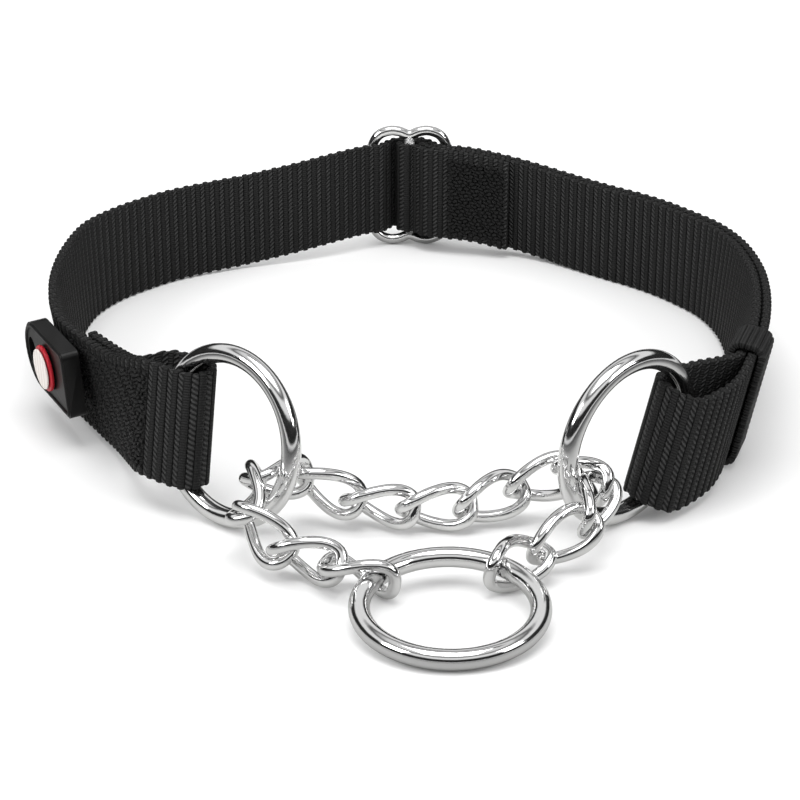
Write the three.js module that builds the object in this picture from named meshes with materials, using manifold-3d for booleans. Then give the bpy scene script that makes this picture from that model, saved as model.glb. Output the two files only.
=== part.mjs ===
// A martingale (half-check) dog collar: one nylon strap with a wire slider, a strap keeper and a rubber
// tag, two side rings, and a curb chain that runs through both side rings and carries the leash ring.
// Millimetres, +Z up, +Y towards the slider at the nape, the leash ring at the front (-Y).
import * as THREE from 'three';
import { mergeVertices } from 'three/addons/utils/BufferGeometryUtils.js';
import Module from 'manifold-3d';

const wasm = await Module();
wasm.setup();

// ---- Driving dimensions -------------------------------------------------------------------------
const STRAP_WIDTH = 24.5;
const STRAP_THICK = 2;
const LAYER_GAP = 0.3;
const LAYER_STEP = STRAP_THICK + LAYER_GAP;
const SPLIT_GAP = 0.9;              // between two lengths of strap that flex on each other
const RING_WIRE = 4;
const RING_RADIUS = 16.75;          // to the middle of the wire
const LINK_WIRE = 2.25;
const LINK_HALF_LENGTH = 7.2;       // to the middle of the wire
const LINK_HALF_WIDTH = 4;
const LINK_SQUARENESS = 2.8;        // exponent of the link's oval
const LINK_TWIST = -48;             // degrees from a link's middle to its end
const SLIDER_WIRE = 2.6;
const SLIDER_BAR = new THREE.Vector3(2.5, 108.6, 16.4);
const SLIDER_LOBE = 10.2;           // from the centre bar to the middle of a side wire
const KEEPER_WIDTH = 12;
const KEEPER_THICK = 1.6;
const TAG_LENGTH = 27.5;
const TAG_HEIGHT = 15.5;
const TAG_THICK = 3.6;
const TAG_INSIDE = 0.8;               // how far the tag lies inside its own line, towards the strap
const TAG_HOLE_RADIUS = 3.4;
const BADGE_RADIUS = 5.2;
const BADGE_THICK = 0.8;
const BADGE_FACE_RADIUS = 4.5;
const FRAME_SHIFT = new THREE.Vector3(-0.6, 5.1, 0.18);  // puts the origin under the middle of the collar

// ---- Materials ----------------------------------------------------------------------------------
const nylon = new THREE.MeshStandardMaterial({ color: 0x1a1a1c, roughness: 0.85, metalness: 0 });
const thread = new THREE.MeshStandardMaterial({ color: 0x101011, roughness: 0.6, metalness: 0 });
const chrome = new THREE.MeshStandardMaterial({ color: 0xd8d8da, roughness: 0.15, metalness: 1 });
const rubber = new THREE.MeshStandardMaterial({ color: 0x151515, roughness: 0.55, metalness: 0 });
const badgeRed = new THREE.MeshStandardMaterial({ color: 0xb01c2a, roughness: 0.45, metalness: 0 });
const badgeWhite = new THREE.MeshStandardMaterial({ color: 0xe6e2dc, roughness: 0.45, metalness: 0 });

const collar = new THREE.Group();
collar.position.copy(FRAME_SHIFT);

// Leaves only positions, with shared corners merged, so that the geometry is one closed body.
function closeSeams(geometry) {
  const bare = new THREE.BufferGeometry();
  bare.setAttribute('position', geometry.getAttribute('position').clone());
  if (geometry.index) bare.setIndex(geometry.index.clone());
  return mergeVertices(bare, 1e-4);
}

function addNode(name, geometry, material) {
  const mesh = new THREE.Mesh(closeSeams(geometry), material);
  mesh.name = name;
  collar.add(mesh);
  return mesh;
}

function toSolid(geometry) {
  const closed = closeSeams(geometry);
  return new wasm.Manifold(new wasm.Mesh({
    numProp: 3,
    vertProperties: new Float32Array(closed.getAttribute('position').array),
    triVerts: new Uint32Array(closed.index.array),
  }));
}

function toGeometry(solid) {
  const mesh = solid.getMesh();
  const geometry = new THREE.BufferGeometry();
  geometry.setAttribute('position', new THREE.BufferAttribute(new Float32Array(mesh.vertProperties), 3));
  geometry.setIndex(new THREE.BufferAttribute(new Uint32Array(mesh.triVerts), 1));
  return geometry;
}

// ---- Wire: a torus whose circle is carried onto any closed curve --------------------------------
// curveAt(turn) gives a place and a sideways direction for turn = 0..1 round the loop.
function closedWire(wire, steps, sides, curveAt) {
  const geometry = closeSeams(new THREE.TorusGeometry(2, 1, sides, steps));
  const place = geometry.getAttribute('position');
  for (let i = 0; i < place.count; i += 1) {
    const turn = Math.atan2(place.getY(i), place.getX(i)) / (2 * Math.PI);
    const outward = Math.hypot(place.getX(i), place.getY(i)) - 2;
    const here = curveAt(turn);
    const ahead = curveAt(turn + 0.002).point.sub(curveAt(turn - 0.002).point).normalize();
    const side = here.side.addScaledVector(ahead, -here.side.dot(ahead)).normalize();
    const up = side.clone().cross(ahead);
    const spot = here.point.addScaledVector(side, (outward * wire) / 2);
    spot.addScaledVector(up, (place.getZ(i) * wire) / 2);
    place.setXYZ(i, spot.x, spot.y, spot.z);
  }
  return geometry;
}

// ---- Chain links: an oval of wire, twisted about its length -------------------------------------
function ovalAt(angle) {
  const power = 2 / LINK_SQUARENESS;
  const along = Math.sign(Math.cos(angle)) * Math.abs(Math.cos(angle)) ** power;
  const across = Math.sign(Math.sin(angle)) * Math.abs(Math.sin(angle)) ** power;
  return { along, across };
}

function linkAt(turn) {
  // the squeezed angle spreads the steps evenly round the oval
  const angle = turn * 2 * Math.PI;
  const even = angle - 0.16 * Math.sin(4 * angle);
  const { along, across } = ovalAt(even);
  const twist = THREE.MathUtils.degToRad(LINK_TWIST * along);
  const half = LINK_HALF_WIDTH * across;
  const point = new THREE.Vector3(LINK_HALF_LENGTH * along, half * Math.cos(twist), half * Math.sin(twist));
  const side = new THREE.Vector3(along, across * Math.cos(twist), across * Math.sin(twist));
  return { point, side };
}

// A link hangs between two points of the chain; roll turns its flat about its own length.
function addLink(name, from, to, roll) {
  const ahead = to.clone().sub(from).normalize();
  const level = new THREE.Vector3(0, 0, 1).cross(ahead).normalize();
  const upright = ahead.clone().cross(level);
  const angle = THREE.MathUtils.degToRad(roll);
  const flat = level.multiplyScalar(Math.cos(angle)).addScaledVector(upright, Math.sin(angle));
  const turned = new THREE.Matrix4().makeBasis(ahead, flat, ahead.clone().cross(flat));
  const mesh = addNode(name, closedWire(LINK_WIRE, 26, 8, linkAt), chrome);
  mesh.position.addVectors(from, to).multiplyScalar(0.5);
  mesh.quaternion.setFromRotationMatrix(turned);
}

// Where each link hangs on the next, from the leash ring's left, through the left side ring, across the
// back, through the right side ring, and to the leash ring's right; and the roll of each link.
const CHAIN_POINTS = [
  [-2.5, -97, 4.5], [-12.5, -92.5, 5.5], [-22.5, -87.5, 5.5], [-30, -80.5, 10.5], [-28.5, -70, 13],
  [-19.5, -63.5, 10.5], [-9.5, -65.5, 6], [1.5, -68, 5.5], [13, -67, 5.5], [23.5, -62.5, 7],
  [33.5, -63.5, 11.5], [39.5, -73, 13], [36, -83, 10], [26.5, -87, 5.5], [18, -94.5, 5],
].map((point) => new THREE.Vector3(...point));
const CHAIN_ROLLS = [40, 75, 95, 115, 115, 105, 115, 100, 85, 100, 115, 115, 100, 125];
const LINK_NAMES = [
  'link_left_1', 'link_left_2', 'link_left_3', 'link_left_4', 'link_left_ring',
  'link_back_1', 'link_back_2', 'link_back_3', 'link_back_4', 'link_back_5',
  'link_right_ring', 'link_right_3', 'link_right_2', 'link_right_1',
];
LINK_NAMES.forEach((name, i) => addLink(name, CHAIN_POINTS[i], CHAIN_POINTS[i + 1], CHAIN_ROLLS[i]));

// ---- Rings --------------------------------------------------------------------------------------
function addRing(name, centre, level, upright) {
  const mesh = addNode(name, new THREE.TorusGeometry(RING_RADIUS, RING_WIRE / 2, 10, 48), chrome);
  const flat = level.clone().normalize();
  const steep = upright.clone().addScaledVector(flat, -upright.dot(flat)).normalize();
  mesh.quaternion.setFromRotationMatrix(new THREE.Matrix4().makeBasis(flat, steep, flat.clone().cross(steep)));
  mesh.position.copy(centre);
}

const LEFT_RING = new THREE.Vector3(-34, -62.5, 18.7);
const RIGHT_RING = new THREE.Vector3(45.1, -63.5, 18.7);
const LEFT_FACING = new THREE.Vector3(0.766, -0.643, 0);    // from the strap into the left ring
const RIGHT_FACING = new THREE.Vector3(-0.75, -0.66, 0);    // from the strap into the right ring
addRing('ring_left', LEFT_RING, LEFT_FACING, new THREE.Vector3(0.09, 0.107, 0.99));
addRing('ring_right', RIGHT_RING, RIGHT_FACING, new THREE.Vector3(0.045, -0.05, 1));
addRing('ring_leash', new THREE.Vector3(9.2, -106, 3.8), new THREE.Vector3(1, 0, 0),
  new THREE.Vector3(0, 0.9945, 0.105));

// ---- Strap: flat lengths of webbing laid along routes -------------------------------------------
// A station is [x, y, height of the lower edge, shift of the upper edge in x, in y], at mid thickness.
// Routes run clockwise seen from above: left front, round the nape, right front.
function strapRoute(stations) {
  const line = new THREE.CatmullRomCurve3(stations.map((s) => new THREE.Vector3(s[0], s[1], s[2])));
  const shift = new THREE.CatmullRomCurve3(stations.map((s) => new THREE.Vector3(s[3], s[4], 0)));
  line.arcLengthDivisions = 40 * stations.length;
  return { line, shift };
}

// The directions of the webbing at t along its route: up its width, and outwards through its thickness.
function facesAt(route, t) {
  const ahead = route.line.getTangent(t).setZ(0).normalize();
  const steep = route.shift.getPoint(t).multiplyScalar(1 / STRAP_WIDTH);
  steep.z = Math.sqrt(1 - steep.lengthSq());
  return { steep, outward: steep.clone().cross(ahead).normalize() };
}

// A spot of the webbing: its share of the route's length, its height on the webbing, its offset outwards.
function onStrap(route, share, height, offset) {
  const t = route.line.getUtoTmapping(share);
  const { steep, outward } = facesAt(route, t);
  return route.line.getPoint(t).addScaledVector(outward, offset).addScaledVector(steep, height);
}

// Lays a flat geometry (x along the strap in millimetres, y up the strap, z outwards) on a route.
function layOnStrap(geometry, route, start) {
  const length = route.line.getLength();
  const laid = closeSeams(geometry);
  const place = laid.getAttribute('position');
  for (let i = 0; i < place.count; i += 1) {
    const share = THREE.MathUtils.clamp((start + place.getX(i)) / length, 0, 1);
    const spot = onStrap(route, share, place.getY(i), place.getZ(i));
    place.setXYZ(i, spot.x, spot.y, spot.z);
  }
  // the route's axes are left-handed, so each triangle is turned round
  const corners = laid.index.array;
  for (let i = 0; i < corners.length; i += 3) {
    [corners[i], corners[i + 1]] = [corners[i + 1], corners[i]];
  }
  return laid;
}

function webbing(route, steps, trimStart = 0, trimEnd = 0) {
  const length = route.line.getLength() - trimStart - trimEnd;
  const flat = new THREE.BoxGeometry(length, STRAP_WIDTH, STRAP_THICK, steps, 1, 1);
  flat.translate(length / 2, STRAP_WIDTH / 2, 0);
  return layOnStrap(flat, route, trimStart);
}

// Stations of a fold round a wire: an arc about a centre, from one angle to another, in degrees. The lower
// edge climbs by rise on the way into the fold's nose.
function foldArc(centre, radius, fromAngle, toAngle, edge, rise = 0) {
  const count = 6;
  const stations = [];
  for (let i = 0; i <= count; i += 1) {
    const angle = THREE.MathUtils.degToRad(fromAngle + ((toAngle - fromAngle) * i) / count);
    const height = edge[0] + rise * Math.min(1, (2 * i) / count);
    stations.push([centre[0] + radius * Math.cos(angle), centre[1] + radius * Math.sin(angle), height,
      edge[1], edge[2]]);
  }
  return stations;
}

// Stations of a layer lying a number of layers further inside the collar than the given one.
function innerLayer(stations, layers) {
  const route = strapRoute(stations);
  return stations.map((s, i) => {
    const { outward } = facesAt(route, i / (stations.length - 1));
    const inward = outward.multiplyScalar(-LAYER_STEP * layers);
    return [s[0] + inward.x, s[1] + inward.y, s[2] + inward.z, s[3], s[4]];
  });
}

const LEFT_SPLIT = [-40.8, 89.6, 0.6, 0, 0];
const RIGHT_SPLIT = [41.9, 94.4, 0.4, 0, 0];

// Left side: the sewn tail inside, the fold round the left ring, then one layer back to the nape.
const leftOuter = [
  [-52.6, -53.9, 6.4, 2.2, 2.7], [-55.4, -45.5, 4.5, 0.3, -0.4], [-59.5, -32, 1.6, -1.6, -2.6],
  [-65.4, -19, 0.4, -2.8, -2.8], [-71.9, -5.5, 0, -3.6, -1.6], [-75.4, 8, 0, -3.2, 0],
  [-77.2, 22, 0, -2.6, 0], [-77.6, 38, 0, -1.6, 0.4], [-75.6, 54, 0, -0.8, 0.4],
  [-70.4, 65.5, 0, 0, 0], [-64.6, 72.9, 0, 0, 0], [-58.4, 79.3, 0, 0, 0], [-50, 84.9, 0.2, 0, 0],
];
const leftTail = innerLayer(leftOuter.slice(0, 5), 1);
const leftSideRoute = strapRoute([
  leftTail[3], leftTail[2], leftTail[1], [-48.2, -48.9, 6.4, 2.2, 2.7],
  ...foldArc([-43, -57.6], 3.5, 50, -130, [6.4, 2.2, 2.7]),
  ...leftOuter, LEFT_SPLIT,
]);
addNode('strap_left', webbing(leftSideRoute, 96, 0, SPLIT_GAP / 2), nylon);

// Nape: out of the left split, inside the slider's left wire, over its bar, inside its right wire.
const napeOuter = [
  LEFT_SPLIT, [-33.6, 92.3, 1.5, 0, 0], [-27.1, 94.6, 2.4, 0, 0], [-20.7, 97.4, 3.3, 0, 0],
  [-14, 101.4, 3.9, 0, 0], [-8.8, 104.7, 4.1, 0, 0], [-5.5, 105.9, 4.1, 0, 0], [-1.7, 111.3, 4.1, 0, 0],
  [2.5, 113.6, 4.1, 0, 0], [6.7, 111.3, 4.1, 0, 0], [10.5, 105.9, 4.1, 0, 0], [13.8, 104.9, 4.1, 0, 0],
  [18, 104.1, 3.9, 0, 0], [23.3, 103, 3.2, 0, 0],
  [30, 101.2, 2, 0, 0], [36.2, 98.1, 1.1, 0, 0], RIGHT_SPLIT,
];
const napeOuterRoute = strapRoute(napeOuter);
addNode('strap_nape', webbing(napeOuterRoute, 56, SPLIT_GAP / 2, SPLIT_GAP / 2), nylon);

// The strap's other end: one layer further in, folded round the slider's bar and sewn back on itself.
const BAR_FOLD_RADIUS = SLIDER_WIRE / 2 + LAYER_GAP + STRAP_THICK / 2;
const napeMiddle = innerLayer(napeOuter, 1).slice(10).reverse();
const napeTail = [[7.2, 102.3, 4.1, 0, 0], ...innerLayer(napeOuter, 2).slice(11, 15)];
const sewnRoute = strapRoute([
  ...napeMiddle, ...foldArc([SLIDER_BAR.x, SLIDER_BAR.y], BAR_FOLD_RADIUS, 35, 290, [4.1, 0, 0]), ...napeTail,
]);
addNode('strap_sewn_end', webbing(sewnRoute, 56, SPLIT_GAP / 2, 0), nylon);

// Right side: the outer layer, the fold round the right ring, and the inner layer back to the nape.
const rightOuter = [
  RIGHT_SPLIT, [48.3, 88.4, 0.1, 0, 0], [54.4, 82.6, 0, 0, 0], [60.5, 77, 0, 0, 0], [66.3, 70.6, 0, 0, 0],
  [72, 62.4, 0, 0, 0], [76.6, 53.5, 0, 0.8, 0.2], [79.6, 40, 0.2, 2, 0.2], [79.9, 22, 0.6, 3.4, 0],
  [78, 5, 1.2, 4.4, 0], [75.4, -10, 1.9, 4.8, -0.4], [72.8, -22, 2.3, 4.8, -1], [69.6, -33, 2.6, 4.8, -1.4],
  [67.8, -38.4, 2.8, 4.8, -1.2],
];
const rightInner = innerLayer(rightOuter, 1).reverse();
const RIGHT_FOLD_EDGE = [1.9, 6, 3.2];
const rightSideRoute = strapRoute([
  ...rightOuter, [65.8, -45.2, 2.4, 4.9, -0.2], [62, -53.2, 2, 5.4, 1.4],
  ...foldArc([50.8, -58.5], 4.8, -48.7, -228.7, RIGHT_FOLD_EDGE, 3),
  [54.4, -48.6, 4.5, 5.6, 2], [60.6, -43.2, 3.8, 5.2, 0.4], ...rightInner,
]);
addNode('strap_right', webbing(rightSideRoute, 112, SPLIT_GAP / 2, SPLIT_GAP / 2), nylon);

// ---- Keeper: a band of webbing closed round both right-hand layers ------------------------------
function roundedBand(x0, x1, y0, y1, radius) {
  const shape = new THREE.Shape();
  shape.moveTo(x0 + radius, y0);
  shape.lineTo(x1 - radius, y0).absarc(x1 - radius, y0 + radius, radius, -Math.PI / 2, 0);
  shape.lineTo(x1, y1 - radius).absarc(x1 - radius, y1 - radius, radius, 0, Math.PI / 2);
  shape.lineTo(x0 + radius, y1).absarc(x0 + radius, y1 - radius, radius, Math.PI / 2, Math.PI);
  shape.lineTo(x0, y0 + radius).absarc(x0 + radius, y0 + radius, radius, Math.PI, 1.5 * Math.PI);
  return shape;
}

const KEEPER_START = 135;           // along the right-hand route
const insideFace = -LAYER_STEP - STRAP_THICK / 2 - LAYER_GAP;
const outsideFace = STRAP_THICK / 2 + LAYER_GAP;
const keeperBand = roundedBand(insideFace - KEEPER_THICK, outsideFace + KEEPER_THICK,
  -LAYER_GAP - KEEPER_THICK, STRAP_WIDTH + LAYER_GAP + KEEPER_THICK, KEEPER_THICK + 0.3);
keeperBand.holes.push(roundedBand(insideFace, outsideFace, -LAYER_GAP, STRAP_WIDTH + LAYER_GAP, 0.3));
const keeper = new THREE.ExtrudeGeometry(keeperBand,
  { depth: KEEPER_WIDTH, steps: 4, bevelEnabled: false, curveSegments: 3 });
keeper.rotateY(-Math.PI / 2).translate(KEEPER_WIDTH, 0, 0);
addNode('keeper_loop', layOnStrap(keeper, rightSideRoute, KEEPER_START), nylon);

// ---- Seams: the box of thread that holds each sewn end ------------------------------------------
const THREAD_WIDTH = 0.9;
const THREAD_THICK = 0.4;

function boxSeam(route, start, length, offset) {
  const low = 3;
  const high = STRAP_WIDTH - 3;
  const along = new THREE.BoxGeometry(length, THREAD_WIDTH, THREAD_THICK, 10, 1, 1);
  const across = new THREE.BoxGeometry(THREAD_WIDTH, high - low, THREAD_THICK, 1, 4, 1);
  const rows = [
    along.clone().translate(length / 2, low, offset),
    along.clone().translate(length / 2, high, offset),
    across.clone().translate(THREAD_WIDTH, (low + high) / 2, offset),
    across.clone().translate(length / 2, (low + high) / 2, offset),
    across.clone().translate(length - THREAD_WIDTH, (low + high) / 2, offset),
  ].map((row) => toSolid(layOnStrap(row, route, start)));
  return toGeometry(rows.reduce((sum, row) => sum.add(row)));
}

const seamOffset = STRAP_THICK / 2 + 0.3 + THREAD_THICK / 2;
addNode('seam_left', boxSeam(leftSideRoute, 2.5, 17, seamOffset), thread);
addNode('seam_nape', boxSeam(sewnRoute, sewnRoute.line.getLength() - 19, 17, -seamOffset), thread);

// ---- Slider: a bent wire with a lobe either side of a centre bar --------------------------------
// One quarter of the wire's outline, from the cusp at the bar round to the middle of a side.
const SLIDER_QUARTER = [
  [0.5, 14], [2.4, 14.8], [5.1, 15.1], [8.2, 13.8], [SLIDER_LOBE, 9.8], [SLIDER_LOBE, 3.4],
];

function sliderOutline() {
  const mirrored = (signX, signZ) => SLIDER_QUARTER.map(([x, z]) => new THREE.Vector3(signX * x, 0, signZ * z));
  return new THREE.CatmullRomCurve3([
    ...mirrored(1, 1), ...mirrored(1, -1).reverse(), ...mirrored(-1, -1), ...mirrored(-1, 1).reverse(),
  ], true);
}

const outline = sliderOutline();
const sliderWire = toSolid(closedWire(SLIDER_WIRE, 56, 8, (turn) => {
  const share = ((turn % 1) + 1) % 1;
  return { point: outline.getPointAt(share), side: new THREE.Vector3(0, 1, 0) };
}));
const bar = new THREE.CylinderGeometry(SLIDER_WIRE / 2, SLIDER_WIRE / 2, 28, 12).rotateX(Math.PI / 2);
const slider = addNode('slider', toGeometry(sliderWire.add(toSolid(bar))), chrome);
slider.position.copy(SLIDER_BAR);

// ---- Rubber tag with its badge, standing off the strap's left front -----------------------------
const TAG_FRONT = new THREE.Vector3(-68.4, -27.6, 15.2);
const TAG_BACK = new THREE.Vector3(-80.6, -3, 15.6);
const TAG_END = TAG_HEIGHT / 2;

function tagShape() {
  const half = TAG_HEIGHT / 2;
  const shape = new THREE.Shape();
  shape.moveTo(1.5, -half).lineTo(TAG_LENGTH - TAG_END, -half);
  shape.absarc(TAG_LENGTH - TAG_END, 0, TAG_END, -Math.PI / 2, Math.PI / 2);
  shape.lineTo(1.5, half).absarc(1.5, half - 1.5, 1.5, Math.PI / 2, Math.PI);
  shape.lineTo(0, 1.5 - half).absarc(1.5, 1.5 - half, 1.5, Math.PI, 1.5 * Math.PI);
  const hole = new THREE.Path();
  hole.absellipse(TAG_LENGTH - 4.6, 0, 2.5, TAG_HOLE_RADIUS, 0, 2 * Math.PI);
  shape.holes.push(hole);
  return shape;
}

function addOnTag(name, geometry, material) {
  const mesh = addNode(name, geometry, material);
  const back = TAG_BACK.clone().sub(TAG_FRONT).normalize();
  const upright = new THREE.Vector3(-0.07, -0.045, 1);
  const steep = upright.addScaledVector(back, -upright.dot(back)).normalize();
  mesh.quaternion.setFromRotationMatrix(new THREE.Matrix4().makeBasis(back, steep, back.clone().cross(steep)));
  mesh.position.copy(TAG_FRONT);
}

const plate = { bevelEnabled: false, curveSegments: 10 };
const tag = new THREE.ExtrudeGeometry(tagShape(), { depth: TAG_THICK, ...plate });
addOnTag('rubber_tag', tag.translate(0, 0, TAG_INSIDE - TAG_THICK), rubber);
const disc = new THREE.CylinderGeometry(BADGE_RADIUS, BADGE_RADIUS, BADGE_THICK, 28).rotateX(Math.PI / 2);
const badgeX = 12.6;
const tagFace = TAG_INSIDE - TAG_THICK;
addOnTag('badge_rim', disc.translate(badgeX, 0, tagFace - LAYER_GAP - BADGE_THICK / 2), badgeRed);
const face = new THREE.CylinderGeometry(BADGE_FACE_RADIUS, BADGE_FACE_RADIUS, 0.4, 28).rotateX(Math.PI / 2);
addOnTag('badge_face', face.translate(badgeX, 0, tagFace - 2 * LAYER_GAP - BADGE_THICK - 0.2), badgeWhite);

export default collar;
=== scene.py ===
# %% [markdown]
# A martingale collar lies open on a table: black ribbed webbing, a wire slider at the nape, a chain that
# runs through two side rings, and a loose ring for the leash. The imported model is loaded first and is
# never moved. Its own box is kept.

# %% Load the imported model
import math

import bpy
import numpy as np
from mathutils import Matrix, Vector


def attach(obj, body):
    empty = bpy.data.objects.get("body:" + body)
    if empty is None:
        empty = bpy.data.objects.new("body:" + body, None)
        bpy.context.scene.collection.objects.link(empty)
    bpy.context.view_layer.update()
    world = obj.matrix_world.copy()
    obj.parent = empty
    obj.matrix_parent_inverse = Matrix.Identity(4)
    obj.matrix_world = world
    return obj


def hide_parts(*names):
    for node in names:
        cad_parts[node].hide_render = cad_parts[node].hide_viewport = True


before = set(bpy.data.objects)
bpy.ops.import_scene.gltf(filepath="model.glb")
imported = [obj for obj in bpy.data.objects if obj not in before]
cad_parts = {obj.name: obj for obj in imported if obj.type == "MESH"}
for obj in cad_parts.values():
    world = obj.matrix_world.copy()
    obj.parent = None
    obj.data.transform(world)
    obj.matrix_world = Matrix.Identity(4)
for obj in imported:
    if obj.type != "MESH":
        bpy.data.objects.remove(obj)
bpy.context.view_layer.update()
MM = 0.001


def clear_selection():
    if bpy.context.mode != "OBJECT":
        bpy.ops.object.mode_set(mode="OBJECT")
    bpy.ops.object.select_all(action="DESELECT")


clear_selection()

# %% [markdown]
# The camera comes first, so that every later look is judged from the same place. It stands in front of
# the leash ring, 23 degrees above the table, with a long lens. ORIGIN is the spot on the table that the
# collar was laid out from: all the stations below are measured from it, in millimetres.

# %% Camera
ORIGIN = Vector((-0.6, 5.1, 0.18))
ELEVATION = math.radians(23)
CAMERA_DISTANCE = 519.4
camera = bpy.data.objects.new("camera", bpy.data.cameras.new("camera"))
bpy.context.collection.objects.link(camera)
away = Vector((0, -math.cos(ELEVATION), math.sin(ELEVATION)))
camera.location = (ORIGIN + CAMERA_DISTANCE * away) * MM
camera.rotation_euler = (-away).to_track_quat("-Z", "Y").to_euler()
camera.data.lens = 103
camera.data.sensor_width = 36
camera.data.clip_start = 0.01
bpy.context.scene.camera = camera
print("camera at", tuple(round(v, 3) for v in camera.location))

# %% [markdown]
# The yarns of webbing, thread and rubber all need a fine grain. One node group makes it: bands of a given
# pitch, turned by an angle, broken up by noise. It gives a tone from 0 to 1 that a material uses for its
# colour and its bump.

# %% Node group: yarn
def make_yarn_group():
    group = bpy.data.node_groups.new("yarn", "ShaderNodeTree")
    sockets = group.interface
    sockets.new_socket("Vector", in_out="INPUT", socket_type="NodeSocketVector")
    for name, value in (("Pitch", 1.0), ("Break-up", 1.0), ("Grain", 3.0)):
        sockets.new_socket(name, in_out="INPUT", socket_type="NodeSocketFloat").default_value = value
    sockets.new_socket("Tone", in_out="OUTPUT", socket_type="NodeSocketFloat")
    nodes, links = group.nodes, group.links
    source, result = nodes.new("NodeGroupInput"), nodes.new("NodeGroupOutput")
    wave = nodes.new("ShaderNodeTexWave")
    wave.inputs["Detail"].default_value = 2
    wave.inputs["Detail Scale"].default_value = 1.5
    noise = nodes.new("ShaderNodeTexNoise")
    noise.inputs["Detail"].default_value = 3
    mix = nodes.new("ShaderNodeMath")
    mix.operation = "MULTIPLY_ADD"
    mix.inputs[1].default_value = 0.45
    half = nodes.new("ShaderNodeMath")
    half.operation = "MULTIPLY"
    half.inputs[1].default_value = 0.6
    rate = nodes.new("ShaderNodeMath")
    rate.operation = "DIVIDE"
    rate.inputs[0].default_value = 0.314
    links.new(source.outputs["Pitch"], rate.inputs[1])
    links.new(rate.outputs[0], wave.inputs["Scale"])
    links.new(source.outputs["Vector"], wave.inputs["Vector"])
    links.new(source.outputs["Break-up"], wave.inputs["Distortion"])
    links.new(source.outputs["Vector"], noise.inputs["Vector"])
    links.new(source.outputs["Grain"], noise.inputs["Scale"])
    links.new(wave.outputs["Fac"], half.inputs[0])
    links.new(noise.outputs["Fac"], mix.inputs[0])
    links.new(half.outputs[0], mix.inputs[2])
    links.new(mix.outputs[0], result.inputs["Tone"])
    return group


YARN = make_yarn_group()
print("group:", YARN.name)

# %% [markdown]
# Each fabric is the same recipe with its own numbers: the tone colours it between two near-black shades
# and lifts its surface. The raised yarns get the lighter shade, so that colour is partly the yarn's own
# uneven tone and partly a painted highlight on the yarn tops, with painted shade in the hollows between
# them. A weak gloss keeps the black deep, with only a soft grey light along the fibres.

# %% Fabric materials
GLOSS = 0.25
PER_METRE = 1000    # object coordinates are in metres, and pitches in millimetres


def tone_material(name, dark, light, roughness, pitch, angle, depth, break_up=1.0, grain=3.0, use_uv=True,
                  scale=1.0):
    material = bpy.data.materials.new(name)
    material.use_nodes = True
    nodes, links = material.node_tree.nodes, material.node_tree.links
    shader = nodes["Principled BSDF"]
    place = nodes.new("ShaderNodeTexCoord")
    turn = nodes.new("ShaderNodeMapping")
    turn.inputs["Rotation"].default_value = angle
    turn.inputs["Scale"].default_value = (scale,) * 3
    yarn = nodes.new("ShaderNodeGroup")
    yarn.node_tree = YARN
    yarn.inputs["Pitch"].default_value = pitch
    yarn.inputs["Break-up"].default_value = break_up
    yarn.inputs["Grain"].default_value = grain
    # the lighter end is partly a painted highlight on the raised yarns, the darker end partly painted shade
    # in the hollows
    ramp = nodes.new("ShaderNodeValToRGB")
    ramp.color_ramp.elements[0].position, ramp.color_ramp.elements[1].position = 0.2, 0.85
    ramp.color_ramp.elements[0].color = (*dark, 1)
    ramp.color_ramp.elements[1].color = (*light, 1)
    bump = nodes.new("ShaderNodeBump")
    bump.inputs["Strength"].default_value = 1.0
    bump.inputs["Distance"].default_value = depth * MM
    links.new(place.outputs["UV" if use_uv else "Object"], turn.inputs["Vector"])
    links.new(turn.outputs["Vector"], yarn.inputs["Vector"])
    links.new(yarn.outputs["Tone"], ramp.inputs["Fac"])
    links.new(ramp.outputs["Color"], shader.inputs["Base Color"])
    links.new(yarn.outputs["Tone"], bump.inputs["Height"])
    links.new(bump.outputs["Normal"], shader.inputs["Normal"])
    shader.inputs["Roughness"].default_value = roughness
    shader.inputs["Specular IOR Level"].default_value = GLOSS
    return material


DIAGONAL = (0, 0, math.radians(58))
LENGTHWISE = (0, 0, math.radians(90))
STRAIGHT = (0, 0, 0)
# the light shades are partly painted highlights on the rib tops; the twill's is the strongest, for its bright
# dashes
ribbed = tone_material("ribbed_nylon", (0.003,) * 3, (0.013,) * 3, 0.6, 0.55, LENGTHWISE, 0.14)
twill = tone_material("twill_nylon", (0.001,) * 3, (0.045,) * 3, 0.5, 0.9, DIAGONAL, 0.6)
stitching = tone_material("black_thread", (0.002,) * 3, (0.016,) * 3, 0.5, 0.3, DIAGONAL, 0.2)
keeper_ribs = tone_material("keeper_nylon", (0.004,) * 3, (0.02,) * 3, 0.55, 0.6, STRAIGHT, 0.15)
rubber = tone_material("moulded_rubber", (0.003,) * 3, (0.006,) * 3, 0.36, 7, STRAIGHT, 0.02, break_up=6,
                       use_uv=False, grain=6, scale=PER_METRE)
print("fabrics:", ribbed.name, twill.name, stitching.name, keeper_ribs.name, rubber.name)

# %% [markdown]
# Plated wire is a mirror with a very slightly uneven polish. Noise of two sizes varies its roughness and
# tilts its surface a little, so that the reflections waver as they do on bent wire.

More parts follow.
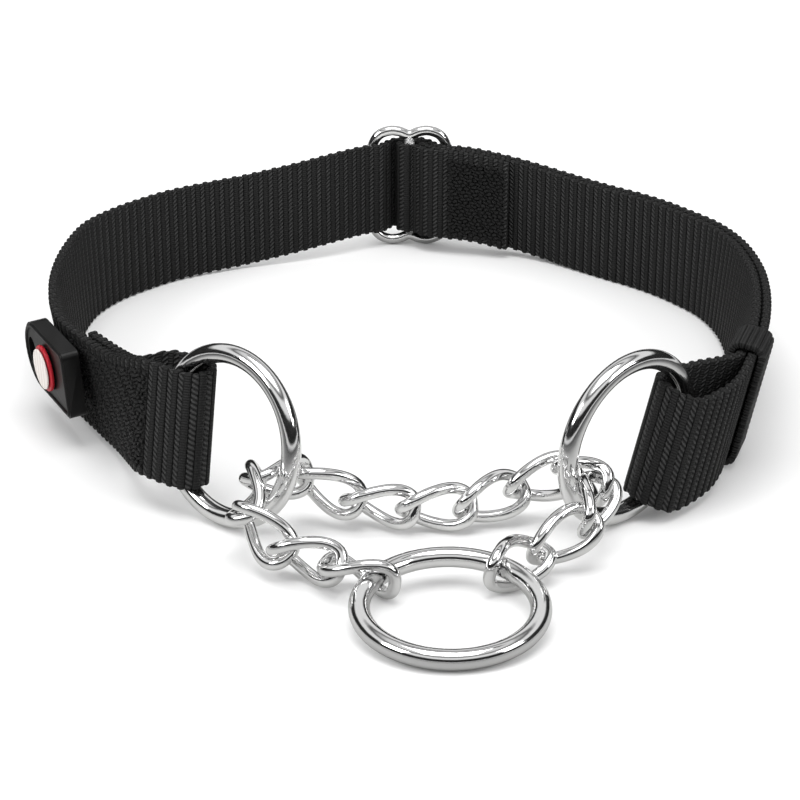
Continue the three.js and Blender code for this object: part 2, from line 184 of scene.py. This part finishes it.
# %% Metal and badge materials
def polished(name, colour, low, high, ripple):
    material = bpy.data.materials.new(name)
    material.use_nodes = True
    nodes, links = material.node_tree.nodes, material.node_tree.links
    shader = nodes["Principled BSDF"]
    shader.inputs["Base Color"].default_value = (*colour, 1)
    shader.inputs["Metallic"].default_value = 1
    place = nodes.new("ShaderNodeTexCoord")
    noise = nodes.new("ShaderNodeTexNoise")
    noise.inputs["Scale"].default_value = 320
    spread = nodes.new("ShaderNodeMapRange")
    spread.inputs["To Min"].default_value = low
    spread.inputs["To Max"].default_value = high
    bump = nodes.new("ShaderNodeBump")
    bump.inputs["Distance"].default_value = ripple * MM
    links.new(place.outputs["Object"], noise.inputs["Vector"])
    links.new(noise.outputs["Fac"], spread.inputs["Value"])
    links.new(spread.outputs["Result"], shader.inputs["Roughness"])
    links.new(noise.outputs["Fac"], bump.inputs["Height"])
    links.new(bump.outputs["Normal"], shader.inputs["Normal"])
    return material


def speckled(name, colour, shade, roughness):
    return tone_material(name, shade, colour, roughness, 0.8, STRAIGHT, 0.02, use_uv=False, grain=5,
                         scale=PER_METRE)


chrome = polished("plated_wire", (0.84, 0.84, 0.84), 0.05, 0.14, 0.03)
badge_red = speckled("badge_red", (0.50, 0.02, 0.035), (0.36, 0.012, 0.02), 0.35)
badge_white = speckled("badge_white", (0.80, 0.76, 0.72), (0.66, 0.60, 0.57), 0.4)
print("metal:", chrome.name)


def dress(node, material):
    """Gives a carried-over CAD node a better material."""
    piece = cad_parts[node]
    piece.data.materials.clear()
    piece.data.materials.append(material)
    return piece


# %% [markdown]
# The webbing follows a route: a list of stations along its lower edge, each with how far the upper edge
# leans. A smooth curve goes through the stations. A spot on the webbing is then found from how far along
# it is, how high up its width, and how far out from its middle.

# %% Routes for webbing
WIDTH = 24.5
THICK = 2.0
LAYER = 2.3          # from the middle of one layer of webbing to the next
GAP = 0.3            # between pieces that lie on each other
PER_SPAN = 24        # spots on the curve between one station and the next


def smooth_curve(points, per_span=PER_SPAN):
    """Points along a centripetal Catmull-Rom curve through the given ones."""
    points = [np.array(p, float) for p in points]
    padded = [2 * points[0] - points[1], *points, 2 * points[-1] - points[-2]]
    spots = []
    for p0, p1, p2, p3 in zip(padded, padded[1:], padded[2:], padded[3:]):
        gaps = [max(np.linalg.norm(b - a), 1e-8) ** 0.5 for a, b in ((p0, p1), (p1, p2), (p2, p3))]
        gaps[1] = gaps[1] if gaps[1] > 1e-3 else 1.0
        gaps[0] = gaps[0] if gaps[0] > 1e-3 else gaps[1]
        gaps[2] = gaps[2] if gaps[2] > 1e-3 else gaps[1]
        g0, g1, g2 = gaps
        leave = ((p1 - p0) / g0 - (p2 - p0) / (g0 + g1) + (p2 - p1) / g1) * g1
        arrive = ((p2 - p1) / g1 - (p3 - p1) / (g1 + g2) + (p3 - p2) / g2) * g1
        for t in np.arange(per_span) / per_span:
            spots.append(p1 + leave * t + (-3 * p1 + 3 * p2 - 2 * leave - arrive) * t**2
                         + (2 * p1 - 2 * p2 + leave + arrive) * t**3)
    return np.array([*spots, points[-1]])


class Route:
    def __init__(self, stations):
        self.line = smooth_curve([s[:3] for s in stations])
        self.lean = smooth_curve([(s[3], s[4], 0) for s in stations])
        steps = np.linalg.norm(np.diff(self.line, axis=0), axis=1)
        self.along = np.concatenate([[0], np.cumsum(steps)])
        self.length = self.along[-1]
        ahead = np.gradient(self.line, axis=0)
        ahead[:, 2] = 0
        self.ahead = ahead / np.linalg.norm(ahead, axis=1)[:, None]

    def pick(self, table, distance):
        return np.stack([np.interp(distance, self.along, table[:, i]) for i in range(3)], axis=-1)

    def faces(self, distance):
        ahead = self.pick(self.ahead, distance)
        steep = self.pick(self.lean, distance) / WIDTH
        steep[:, 2] = np.sqrt(1 - (steep[:, :2] ** 2).sum(axis=1))
        outward = np.cross(steep, ahead)
        return steep, outward / np.linalg.norm(outward, axis=1)[:, None]

    def lay(self, flat):
        """Flat spots (along, up the width, outwards) in millimetres, laid on the route."""
        distance = np.clip(flat[:, 0], 0, self.length)
        steep, outward = self.faces(distance)
        return self.pick(self.line, distance) + outward * flat[:, 2:3] + steep * flat[:, 1:2]


def inner_layer(stations, layers):
    route = Route(stations)
    turned = []
    for i, s in enumerate(stations):
        _, outward = route.faces(np.array([route.along[PER_SPAN * i]]))
        inward = -LAYER * layers * outward[0]
        turned.append((s[0] + inward[0], s[1] + inward[1], s[2] + inward[2], s[3], s[4]))
    return turned


def fold(centre, radius, start, end, edge, rise=0.0):
    stations = []
    for i in range(7):
        angle = math.radians(start + (end - start) * i / 6)
        height = edge[0] + rise * min(1, i / 3)
        stations.append((centre[0] + radius * math.cos(angle), centre[1] + radius * math.sin(angle), height,
                         edge[1], edge[2]))
    return stations


LEFT_SPLIT = (-40.8, 89.6, 0.6, 0, 0)
RIGHT_SPLIT = (41.9, 94.4, 0.4, 0, 0)
left_outer = [
    (-52.6, -53.9, 6.4, 2.2, 2.7), (-55.4, -45.5, 4.5, 0.3, -0.4), (-59.5, -32, 1.6, -1.6, -2.6),
    (-65.4, -19, 0.4, -2.8, -2.8), (-71.9, -5.5, 0, -3.6, -1.6), (-75.4, 8, 0, -3.2, 0),
    (-77.2, 22, 0, -2.6, 0), (-77.6, 38, 0, -1.6, 0.4), (-75.6, 54, 0, -0.8, 0.4), (-70.4, 65.5, 0, 0, 0),
    (-64.6, 72.9, 0, 0, 0), (-58.4, 79.3, 0, 0, 0), (-50, 84.9, 0.2, 0, 0),
]
left_tail = inner_layer(left_outer[:5], 1)
left_route = Route([
    left_tail[3], left_tail[2], left_tail[1], (-48.2, -48.9, 6.4, 2.2, 2.7),
    *fold((-43, -57.6), 3.5, 50, -130, (6.4, 2.2, 2.7)), *left_outer, LEFT_SPLIT,
])
nape_outer = [
    LEFT_SPLIT, (-33.6, 92.3, 1.5, 0, 0), (-27.1, 94.6, 2.4, 0, 0), (-20.7, 97.4, 3.3, 0, 0),
    (-14, 101.4, 3.9, 0, 0), (-8.8, 104.7, 4.1, 0, 0), (-5.5, 105.9, 4.1, 0, 0), (-1.7, 111.3, 4.1, 0, 0),
    (2.5, 113.6, 4.1, 0, 0), (6.7, 111.3, 4.1, 0, 0), (10.5, 105.9, 4.1, 0, 0), (13.8, 104.9, 4.1, 0, 0),
    (18, 104.1, 3.9, 0, 0), (23.3, 103, 3.2, 0, 0), (30, 101.2, 2, 0, 0), (36.2, 98.1, 1.1, 0, 0),
    RIGHT_SPLIT,
]
nape_route = Route(nape_outer)
sewn_route = Route([
    *inner_layer(nape_outer, 1)[10:][::-1], *fold((2.5, 108.6), 2.6, 35, 290, (4.1, 0, 0)),
    (7.2, 102.3, 4.1, 0, 0), *inner_layer(nape_outer, 2)[11:15],
])
right_outer = [
    RIGHT_SPLIT, (48.3, 88.4, 0.1, 0, 0), (54.4, 82.6, 0, 0, 0), (60.5, 77, 0, 0, 0), (66.3, 70.6, 0, 0, 0),
    (72, 62.4, 0, 0, 0), (76.6, 53.5, 0, 0.8, 0.2), (79.6, 40, 0.2, 2, 0.2), (79.9, 22, 0.6, 3.4, 0),
    (78, 5, 1.2, 4.4, 0), (75.4, -10, 1.9, 4.8, -0.4), (72.8, -22, 2.3, 4.8, -1), (69.6, -33, 2.6, 4.8, -1.4),
    (67.8, -38.4, 2.8, 4.8, -1.2),
]
right_route = Route([
    *right_outer, (65.8, -45.2, 2.4, 4.9, -0.2), (62, -53.2, 2, 5.4, 1.4),
    *fold((50.8, -58.5), 4.8, -48.7, -228.7, (1.9, 6, 3.2), 3),
    (54.4, -48.6, 4.5, 5.6, 2), (60.6, -43.2, 3.8, 5.2, 0.4), *inner_layer(right_outer, 1)[::-1],
])
print("webbing lengths, mm:", [round(r.length, 1) for r in (left_route, nape_route, sewn_route, right_route)])

# %% [markdown]
# Heavy collar webbing shows ribs across its width: a plain rib, then a rib of slanting yarns. Two rounded
# bars are made once, one of each, and an array repeats the pair along a straight length. The length gets
# its UV map while it is still straight, so that the yarn pattern keeps its true size, and only then are
# its points laid on the route.

# %% Webbing
PAIR = 2.7


def add_bar(name, low, high, material, soft=0.42):
    """A rounded bar between two corners given in millimetres."""
    clear_selection()
    middle = [(a + b) / 2 for a, b in zip(low, high)]
    bpy.ops.mesh.primitive_cube_add(size=1, location=[v * MM for v in middle])
    bar = bpy.context.object
    bar.name = name
    bar.scale = [(b - a) * MM for a, b in zip(low, high)]
    bpy.ops.object.transform_apply(location=True, rotation=True, scale=True)
    bpy.ops.object.mode_set(mode="EDIT")
    bpy.ops.mesh.select_all(action="SELECT")
    bpy.ops.mesh.bevel(offset=soft * MM, segments=2, affect="EDGES")
    bpy.ops.object.mode_set(mode="OBJECT")
    bar.data.materials.append(material)
    return bar


def join(pieces):
    clear_selection()
    for piece in pieces:
        piece.select_set(True)
    bpy.context.view_layer.objects.active = pieces[0]
    bpy.ops.object.join()
    return bpy.context.object


def repeat(piece, step, count):
    """Repeats a piece along +X, step in millimetres."""
    clear_selection()
    piece.select_set(True)
    bpy.context.view_layer.objects.active = piece
    array = piece.modifiers.new("along", "ARRAY")
    array.use_relative_offset = False
    array.use_constant_offset = True
    array.constant_offset_displace = (step * MM, 0, 0)
    array.count = count
    bpy.ops.object.modifier_apply(modifier="along")
    return piece


def unwrap(piece):
    """Gives a flat piece its UV map in millimetres and returns its points in millimetres."""
    clear_selection()
    piece.select_set(True)
    bpy.context.view_layer.objects.active = piece
    bpy.ops.object.mode_set(mode="EDIT")
    bpy.ops.mesh.select_all(action="SELECT")
    bpy.ops.uv.cube_project(cube_size=MM, scale_to_bounds=False)
    bpy.ops.object.mode_set(mode="OBJECT")
    return np.array([v.co for v in piece.data.vertices]) / MM


def put_points(piece, spots):
    placed = (spots + np.array(ORIGIN)) * MM
    piece.data.vertices.foreach_set("co", placed.astype(np.float32).ravel())
    piece.data.update()
    bpy.ops.object.shade_smooth_by_angle(angle=math.radians(50))


def lay_on(piece, route, start=0.0):
    """Lays a flat piece on the route. Up and along swap hands there, so the normals are flipped."""
    flat = unwrap(piece)
    flat[:, 0] += start
    put_points(piece, route.lay(flat))
    piece.data.flip_normals()
    return piece


def webbing(name, route, start, end, body, node):
    count = round((end - start) / PAIR)
    step = (end - start) / count
    plain = add_bar(name, (-0.03, 0, -THICK / 2), (step / 2 + 0.03, WIDTH, THICK / 2), ribbed)
    slanted = add_bar("slanted", (step / 2 - 0.03, 0.25, 0.2 - THICK / 2), (step + 0.03, WIDTH - 0.25,
                      THICK / 2 - 0.2), twill, 0.36)
    strip = repeat(join([plain, slanted]), step, count)
    lay_on(strip, route, start)
    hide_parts(node)
    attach(strip, body)
    print(name, "ribs:", 2 * count, "length:", round(end - start, 1))
    return strip


webbing("webbing_left", left_route, 0, left_route.length - 0.05, "left_side", "strap_left")
webbing("webbing_nape", nape_route, 0.05, nape_route.length - 0.05, "nape", "strap_nape")
webbing("webbing_sewn_end", sewn_route, 0.05, sewn_route.length, "nape", "strap_sewn_end")
webbing("webbing_right", right_route, 0.05, right_route.length - 0.05, "right_side", "strap_right")

# %% [markdown]
# The sewn ends are darned flat: rows of short stitches, close together, that hide the ribs. One stitch is
# a small rounded bar. It is repeated along a row, the row is repeated up the width with every other row
# moved by half a stitch, waves pull the rows a little uneven, and the whole patch is laid on the same
# route as the webbing under it.

# %% Stitched patches
def stitched_patch(name, route, start, length, side, body, node):
    stitch, gap, pitch = 1.25, 0.3, 0.9
    rows = []
    for i in range(int((WIDTH - 3) / pitch)):
        y = 1.6 + i * pitch
        x = 0.5 * (stitch + gap) * (i % 2)
        row = add_bar(name, (x, y, side * 1.1 - 0.28), (x + stitch, y + 0.75, side * 1.1 + 0.3), stitching,
                      0.2)
        rows.append(repeat(row, stitch + gap, int(length / (stitch + gap))))
    patch = join(rows)
    for vertex in patch.data.vertices:
        x, y, _ = vertex.co / MM
        pull = Vector((0.22 * math.sin(2.3 * y + 0.9 * x), 0.25 * math.sin(1.7 * x + 0.8 * y),
                       0.16 * math.sin(3.1 * x - 2.2 * y)))
        vertex.co += pull * MM
    lay_on(patch, route, start)
    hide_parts(node)
    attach(patch, body)
    print(name, "rows:", len(rows))
    return patch


stitched_patch("stitches_nape", sewn_route, sewn_route.length - 16.5, 16, -1, "nape", "seam_nape")
outer_start = left_route.along[PER_SPAN * 11]
stitched_patch("stitches_left", left_route, outer_start - 1, 44, 1, "left_side", "seam_left")

# %% [markdown]
# A ring is a plain torus of 4 mm wire. It is turned upright by a matrix made from two directions: one
# along the table into the ring, one up its face. The turn is then applied, so that the finished ring's
# place is in its mesh.

# %% Rings
RING_RADIUS = 16.75
RING_WIRE = 4


def settle(piece, matrix):
    """Puts a piece in its place and applies it."""
    clear_selection()
    piece.select_set(True)
    bpy.context.view_layer.objects.active = piece
    piece.matrix_world = matrix
    bpy.ops.object.transform_apply(location=True, rotation=True, scale=True)
    return piece


def place_at(centre, level, upright):
    level = Vector(level).normalized()
    upright = Vector(upright)
    upright = (upright - upright.dot(level) * level).normalized()
    turn = Matrix((level, upright, level.cross(upright))).transposed().to_4x4()
    return Matrix.Translation((Vector(centre) + ORIGIN) * MM) @ turn


def ring(name, centre, level, upright, body):
    clear_selection()
    bpy.ops.mesh.primitive_torus_add(major_segments=128, minor_segments=28, major_radius=RING_RADIUS * MM,
                                     minor_radius=RING_WIRE / 2 * MM)
    piece = bpy.context.object
    piece.name = name + "_wire"
    bpy.ops.object.shade_smooth()
    settle(piece, place_at(centre, level, upright))
    piece.data.materials.append(chrome)
    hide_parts(name)
    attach(piece, body)
    return piece


ring("ring_left", (-34, -62.5, 18.7), (0.766, -0.643, 0), (0.09, 0.107, 0.99), "left_ring")
ring("ring_right", (45.1, -63.5, 18.7), (-0.75, -0.66, 0), (0.045, -0.05, 1), "right_ring")
ring("ring_leash", (9.2, -106, 3.8), (1, 0, 0), (0, 0.9945, 0.105), "leash_ring")
print("rings made")

# %% [markdown]
# A curb link is an oval of wire twisted about its own length, so that it lies flat against its neighbours.
# A torus is carried onto that oval point by point. Each link hangs between two points of the chain's run
# and is rolled about the line between them.

# %% Chain links
def carry_wire(piece, wire, curve_at):
    """Carries a torus of radius 2 and wire 1 onto a closed curve given as point and side at a turn 0..1."""
    spots = []
    for vertex in piece.data.vertices:
        x, y, z = vertex.co
        turn = math.atan2(y, x) / (2 * math.pi)
        here, side = curve_at(turn)
        ahead = (curve_at(turn + 0.002)[0] - curve_at(turn - 0.002)[0]).normalized()
        side = (side - side.dot(ahead) * ahead).normalized()
        up = side.cross(ahead)
        spots.append((here + side * ((math.hypot(x, y) - 2) * wire / 2) - up * (z * wire / 2)) * MM)
    for vertex, spot in zip(piece.data.vertices, spots):
        vertex.co = spot
    piece.data.update()


LINK_WIRE = 2.4
LINK_REACH = 7.2     # half its length, along the middle of the wire
LINK_HALF = 4        # half its width
LINK_TWIST = -48     # degrees at each end
OVAL_POWER = 2 / 2.8
EVEN_SPACING = 0.16


def link_curve(turn):
    angle = turn * 2 * math.pi
    angle -= EVEN_SPACING * math.sin(4 * angle)
    along = math.copysign(abs(math.cos(angle)) ** OVAL_POWER, math.cos(angle))
    across = math.copysign(abs(math.sin(angle)) ** OVAL_POWER, math.sin(angle))
    twist = math.radians(LINK_TWIST) * along
    spot = Vector((LINK_REACH * along, LINK_HALF * across * math.cos(twist),
                   LINK_HALF * across * math.sin(twist)))
    return spot, Vector((along, across * math.cos(twist), across * math.sin(twist)))


def wire_loop(name, wire, curve_at, steps, sides, material=chrome):
    clear_selection()
    bpy.ops.mesh.primitive_torus_add(major_segments=steps, minor_segments=sides, major_radius=2,
                                     minor_radius=1)
    loop = bpy.context.object
    loop.name = name
    carry_wire(loop, wire, curve_at)
    bpy.ops.object.mode_set(mode="EDIT")
    bpy.ops.mesh.select_all(action="SELECT")
    bpy.ops.mesh.normals_make_consistent(inside=False)
    bpy.ops.object.mode_set(mode="OBJECT")
    bpy.ops.object.shade_smooth()
    loop.data.materials.append(material)
    return loop


CHAIN_POINTS = [
    (-2.5, -97, 4.5), (-12.5, -92.5, 5.5), (-22.5, -87.5, 5.5), (-30, -80.5, 10.5), (-28.5, -70, 13),
    (-19.5, -63.5, 10.5), (-9.5, -65.5, 6), (1.5, -68, 5.5), (13, -67, 5.5), (23.5, -62.5, 7),
    (33.5, -63.5, 11.5), (39.5, -73, 13), (36, -83, 10), (26.5, -87, 5.5), (18, -94.5, 5),
]
CHAIN_ROLLS = [40, 75, 95, 115, 115, 105, 115, 100, 85, 100, 115, 115, 100, 125]
LINK_NAMES = [
    "link_left_1", "link_left_2", "link_left_3", "link_left_4", "link_left_ring",
    "link_back_1", "link_back_2", "link_back_3", "link_back_4", "link_back_5",
    "link_right_ring", "link_right_3", "link_right_2", "link_right_1",
]
for name, start, end, roll in zip(LINK_NAMES, CHAIN_POINTS, CHAIN_POINTS[1:], CHAIN_ROLLS):
    start, end = Vector(start), Vector(end)
    ahead = (end - start).normalized()
    level = Vector((0, 0, 1)).cross(ahead).normalized()
    upright = ahead.cross(level)
    roll = math.radians(roll)
    flat = level * math.cos(roll) + upright * math.sin(roll)
    link = wire_loop(name + "_wire", LINK_WIRE, link_curve, 64, 16)
    settle(link, place_at((start + end) / 2, ahead, flat))
    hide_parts(name)
    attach(link, name)
print("links:", len(LINK_NAMES))

# %% [markdown]
# The slider is one bent wire: two lobes with a cusp between them at each end, and a straight bar down the
# middle for the webbing to turn round. The outline is a closed smooth curve through the corners of one
# quarter, mirrored both ways. The bar is a cylinder with rounded ends.

# %% Slider
LOBE = 10.2
SLIDER_WIRE = 2.6
BAR_LENGTH = 28
quarter = [(0.5, 14), (2.4, 14.8), (5.1, 15.1), (8.2, 13.8), (LOBE, 9.8), (LOBE, 3.4)]
corners = quarter + [(x, -z) for x, z in quarter[::-1]]
corners += [(-x, -z) for x, z in quarter] + [(-x, z) for x, z in quarter[::-1]]
closed = smooth_curve([(x, 0, z) for x, z in corners + corners + corners], 40)
third = len(closed) // 3
outline = closed[third:third + 40 * len(corners)]
outline_steps = np.linalg.norm(np.diff(np.vstack([outline, outline[:1]]), axis=0), axis=1)
outline_along = np.concatenate([[0], np.cumsum(outline_steps)])
outline_loop = np.vstack([outline, outline[:1]])


def slider_curve(turn):
    distance = (turn % 1) * outline_along[-1]
    spot = [np.interp(distance, outline_along, outline_loop[:, i]) for i in range(3)]
    return Vector(spot), Vector((0, 1, 0))


slider_wire = wire_loop("slider_wire", SLIDER_WIRE, slider_curve, 160, 18)
clear_selection()
bpy.ops.mesh.primitive_cylinder_add(vertices=24, radius=SLIDER_WIRE / 2 * MM, depth=BAR_LENGTH * MM)
slider_bar = bpy.context.object
bpy.ops.object.mode_set(mode="EDIT")
bpy.ops.mesh.select_all(action="SELECT")
bpy.ops.mesh.bevel(offset=0.4 * MM, segments=3, affect="EDGES")
bpy.ops.object.mode_set(mode="OBJECT")
bpy.ops.object.shade_smooth()
slider_bar.data.materials.append(chrome)
slider_piece = join([slider_wire, slider_bar])
settle(slider_piece, place_at((2.5, 108.6, 16.4), (1, 0, 0), (0, 1, 0)))
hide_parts("slider")
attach(slider_piece, "slider")
print("slider size:", [round(v / MM, 1) for v in slider_piece.dimensions])

# %% [markdown]
# The keeper is a short loop of the same webbing round both right-hand layers, with its ribs running along
# the strap. Its ribs are made side by side on a flat band, which is then wrapped round a rounded oblong
# and laid on the route. The oblong is a closed line made from its four corner arcs.

# %% Keeper
class Loop:
    """A closed line of arcs, each given as middle, radius, first angle and last angle in degrees."""

    def __init__(self, arcs):
        spots = []
        for x, y, radius, first, last in arcs:
            for share in range(13):
                angle = math.radians(first + (last - first) * share / 12)
                spots.append((x + radius * math.cos(angle), y + radius * math.sin(angle)))
        self.line = np.array([*spots, spots[0]])
        self.along = np.concatenate([[0], np.cumsum(np.linalg.norm(np.diff(self.line, axis=0), axis=1))])
        self.length = self.along[-1]

    def spot(self, distance):
        distance = np.mod(distance, self.length)
        return np.stack([np.interp(distance, self.along, self.line[:, i]) for i in range(2)], axis=-1)

    def outward(self, distance):
        ahead = self.spot(distance + 0.3) - self.spot(distance - 0.3)
        ahead /= np.linalg.norm(ahead, axis=-1)[..., None]
        return np.stack([ahead[..., 1], -ahead[..., 0]], axis=-1)


KEEPER_START = 135
KEEPER_WIDTH = 12
KEEPER_THICK = 1.6
KEEPER_CORNER = 1.9
KEEPER_RIB = 1.3
outer_side = THICK / 2 + GAP + KEEPER_THICK / 2 - KEEPER_CORNER
inner_side = -LAYER - THICK / 2 - GAP - KEEPER_THICK / 2 + KEEPER_CORNER
low_side = -GAP - KEEPER_THICK / 2 + KEEPER_CORNER
high_side = WIDTH + GAP + KEEPER_THICK / 2 - KEEPER_CORNER
around = Loop([
    (outer_side, low_side, KEEPER_CORNER, -90, 0), (outer_side, high_side, KEEPER_CORNER, 0, 90),
    (inner_side, high_side, KEEPER_CORNER, 90, 180), (inner_side, low_side, KEEPER_CORNER, 180, 270),
])
rib_count = round(around.length / KEEPER_RIB)
rib_step = around.length / rib_count
rib = add_bar("keeper_band", (-0.03, 0, -KEEPER_THICK / 2), (rib_step + 0.03, KEEPER_WIDTH, KEEPER_THICK / 2),
              keeper_ribs, 0.4)
keeper_band = repeat(rib, rib_step, rib_count)
flat = unwrap(keeper_band)
wrapped = around.spot(flat[:, 0]) + around.outward(flat[:, 0]) * flat[:, 2:3]
on_strap = np.column_stack([KEEPER_START + flat[:, 1], wrapped[:, 1], wrapped[:, 0]])
put_points(keeper_band, right_route.lay(on_strap))
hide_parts("keeper_loop")
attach(keeper_band, "keeper")
print("keeper ribs:", rib_count)

# %% [markdown]
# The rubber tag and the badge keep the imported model's own shapes. Their edges are sharp there, and a
# moulded edge never is, so each gets its corners welded and softly bevelled. A thin lip runs round the
# outer face of the tag, as moulded tags have: a fine loop of rubber that follows the tag's outline.

# %% Tag and badge
def soften(node, material, width, angle=35):
    piece = dress(node, material)
    weld = piece.modifiers.new("weld", "WELD")
    weld.merge_threshold = 0.00001
    bevel = piece.modifiers.new("soft", "BEVEL")
    bevel.width = width * MM
    bevel.segments = 3
    bevel.limit_method = "ANGLE"
    bevel.angle_limit = math.radians(angle)
    return piece


soften("rubber_tag", rubber, 0.45)
soften("badge_rim", badge_red, 0.25)
soften("badge_face", badge_white, 0.12)
TAG_LENGTH = 27.5
TAG_HALF = 7.75
TAG_FACE = -2.8
LIP_INSET = 0.75
lip_side = TAG_HALF - LIP_INSET
lip_line = Loop([
    (TAG_LENGTH - TAG_HALF, 0, lip_side, -90, 90), (1.8, lip_side - 1, 1, 90, 180),
    (1.8, 1 - lip_side, 1, 180, 270),
])


def lip_curve(turn):
    x, y = lip_line.spot(turn * lip_line.length)
    side_x, side_y = lip_line.outward(turn * lip_line.length)
    return Vector((x, y, TAG_FACE + 0.1)), Vector((side_x, side_y, 0))


tag_front, tag_back = Vector((-68.4, -27.6, 15.2)), Vector((-80.6, -3, 15.6))
lip = wire_loop("tag_lip", 1.0, lip_curve, 160, 12, rubber)
settle(lip, place_at(tag_front, tag_back - tag_front, (-0.07, -0.045, 1)))
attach(lip, "tag")
print("tag and badge dressed")

# %% [markdown]
# The stage is a pale table top and a white surround, with big soft lamps. Plated wire shows only what is
# round it, so dark boards stand out of sight, and mirror reflections alone see a darker table and a banded
# sky. Together they draw the dark bands that polished metal has. Every other ray sees both plain and pale.

# %% Stage and light
def flat_material(name, colour, roughness):
    material = bpy.data.materials.new(name)
    material.use_nodes = True
    material.node_tree.nodes["Principled BSDF"].inputs["Base Color"].default_value = (*colour, 1)
    material.node_tree.nodes["Principled BSDF"].inputs["Roughness"].default_value = roughness
    return material


clear_selection()
bpy.ops.mesh.primitive_plane_add(size=6, location=(0, 0, 0))
table_top = bpy.context.object
table_top.name = "table_top"
pale = flat_material("pale_table", (0.9, 0.9, 0.9), 0.9)
pale_nodes, pale_links = pale.node_tree.nodes, pale.node_tree.links
table_spot = pale_nodes.new("ShaderNodeNewGeometry")
table_reach = pale_nodes.new("ShaderNodeVectorMath")
table_reach.operation = "LENGTH"
table_tone = pale_nodes.new("ShaderNodeValToRGB")
table_stops = table_tone.color_ramp.elements
table_stops[0].position, table_stops[0].color = 0.06, (0.66, 0.66, 0.65, 1)
table_stops[1].position, table_stops[1].color = 0.16, (0.12, 0.12, 0.12, 1)
for position, grey in ((0.30, 0.02), (0.55, 0.02), (0.75, 0.5)):
    table_stops.new(position).color = (grey, grey, grey, 1)
table_rays = pale_nodes.new("ShaderNodeLightPath")
table_choice = pale_nodes.new("ShaderNodeMix")
table_choice.data_type = "RGBA"
table_choice.inputs["A"].default_value = (0.9, 0.9, 0.9, 1)
pale_links.new(table_spot.outputs["Position"], table_reach.inputs[0])
pale_links.new(table_reach.outputs["Value"], table_tone.inputs["Fac"])
pale_links.new(table_rays.outputs["Is Glossy Ray"], table_choice.inputs["Factor"])
pale_links.new(table_tone.outputs["Color"], table_choice.inputs["B"])
pale_links.new(table_choice.outputs["Result"], pale_nodes["Principled BSDF"].inputs["Base Color"])
table_top.data.materials.append(pale)


def dark_board(name, location, size, towards):
    clear_selection()
    bpy.ops.mesh.primitive_plane_add(size=1, location=location)
    board = bpy.context.object
    board.name = name
    board.scale = (*size, 1)
    board.rotation_euler = (Vector(towards) - Vector(location)).to_track_quat("Z", "Y").to_euler()
    board.data.materials.append(flat_material(name + "_black", (0.01, 0.01, 0.01), 1))
    board.visible_camera = False
    board.visible_diffuse = False
    board.visible_shadow = False


dark_board("board_front", (0.0, -0.75, 0.25), (0.9, 0.12), (0, 0, 0))
dark_board("board_left", (-0.8, 0.1, 0.3), (0.5, 0.14), (0, 0, 0))
dark_board("board_right", (0.8, -0.1, 0.4), (0.5, 0.12), (0, 0, 0))
dark_board("board_top", (0.1, 0.2, 0.9), (0.6, 0.10), (0, 0, 0))


def soft_lamp(name, location, size, power):
    data = bpy.data.lights.new(name, "AREA")
    data.shape = "RECTANGLE"
    data.size, data.size_y = size
    data.energy = power
    lamp = bpy.data.objects.new(name, data)
    lamp.location = location
    lamp.rotation_euler = (-Vector(location)).to_track_quat("-Z", "Y").to_euler()
    bpy.context.collection.objects.link(lamp)


soft_lamp("lamp_top", (0, -0.2, 1.2), (0.8, 0.8), 7)
soft_lamp("lamp_left", (-0.9, -0.5, 0.7), (0.5, 0.5), 4.5)
soft_lamp("lamp_right", (0.9, -0.4, 0.6), (0.5, 0.5), 3)
world = bpy.data.worlds.new("studio")
bpy.context.scene.world = world
world.use_nodes = True
sky, air = world.node_tree.nodes, world.node_tree.links
direction = sky.new("ShaderNodeTexCoord")
height = sky.new("ShaderNodeSeparateXYZ")
bands = sky.new("ShaderNodeValToRGB")
stops = bands.color_ramp.elements
stops[0].position, stops[0].color = 0.02, (1, 1, 1, 1)
stops[1].position, stops[1].color = 0.07, (0.02, 0.02, 0.02, 1)
for position, grey in ((0.42, 0.03), (0.52, 1.0), (0.70, 1.0), (0.78, 0.1), (0.88, 0.9)):
    stops.new(position).color = (grey, grey, grey, 1)
rays = sky.new("ShaderNodeLightPath")
choose = sky.new("ShaderNodeMix")
choose.data_type = "RGBA"
choose.inputs["A"].default_value = (1, 1, 1, 1)
air.new(direction.outputs["Generated"], height.inputs["Vector"])
air.new(height.outputs["Z"], bands.inputs["Fac"])
air.new(rays.outputs["Is Glossy Ray"], choose.inputs["Factor"])
air.new(bands.outputs["Color"], choose.inputs["B"])
air.new(choose.outputs["Result"], sky["Background"].inputs["Color"])
sky["Background"].inputs["Strength"].default_value = 0.8
bpy.context.scene.view_settings.view_transform = "Standard"
print("stage set")
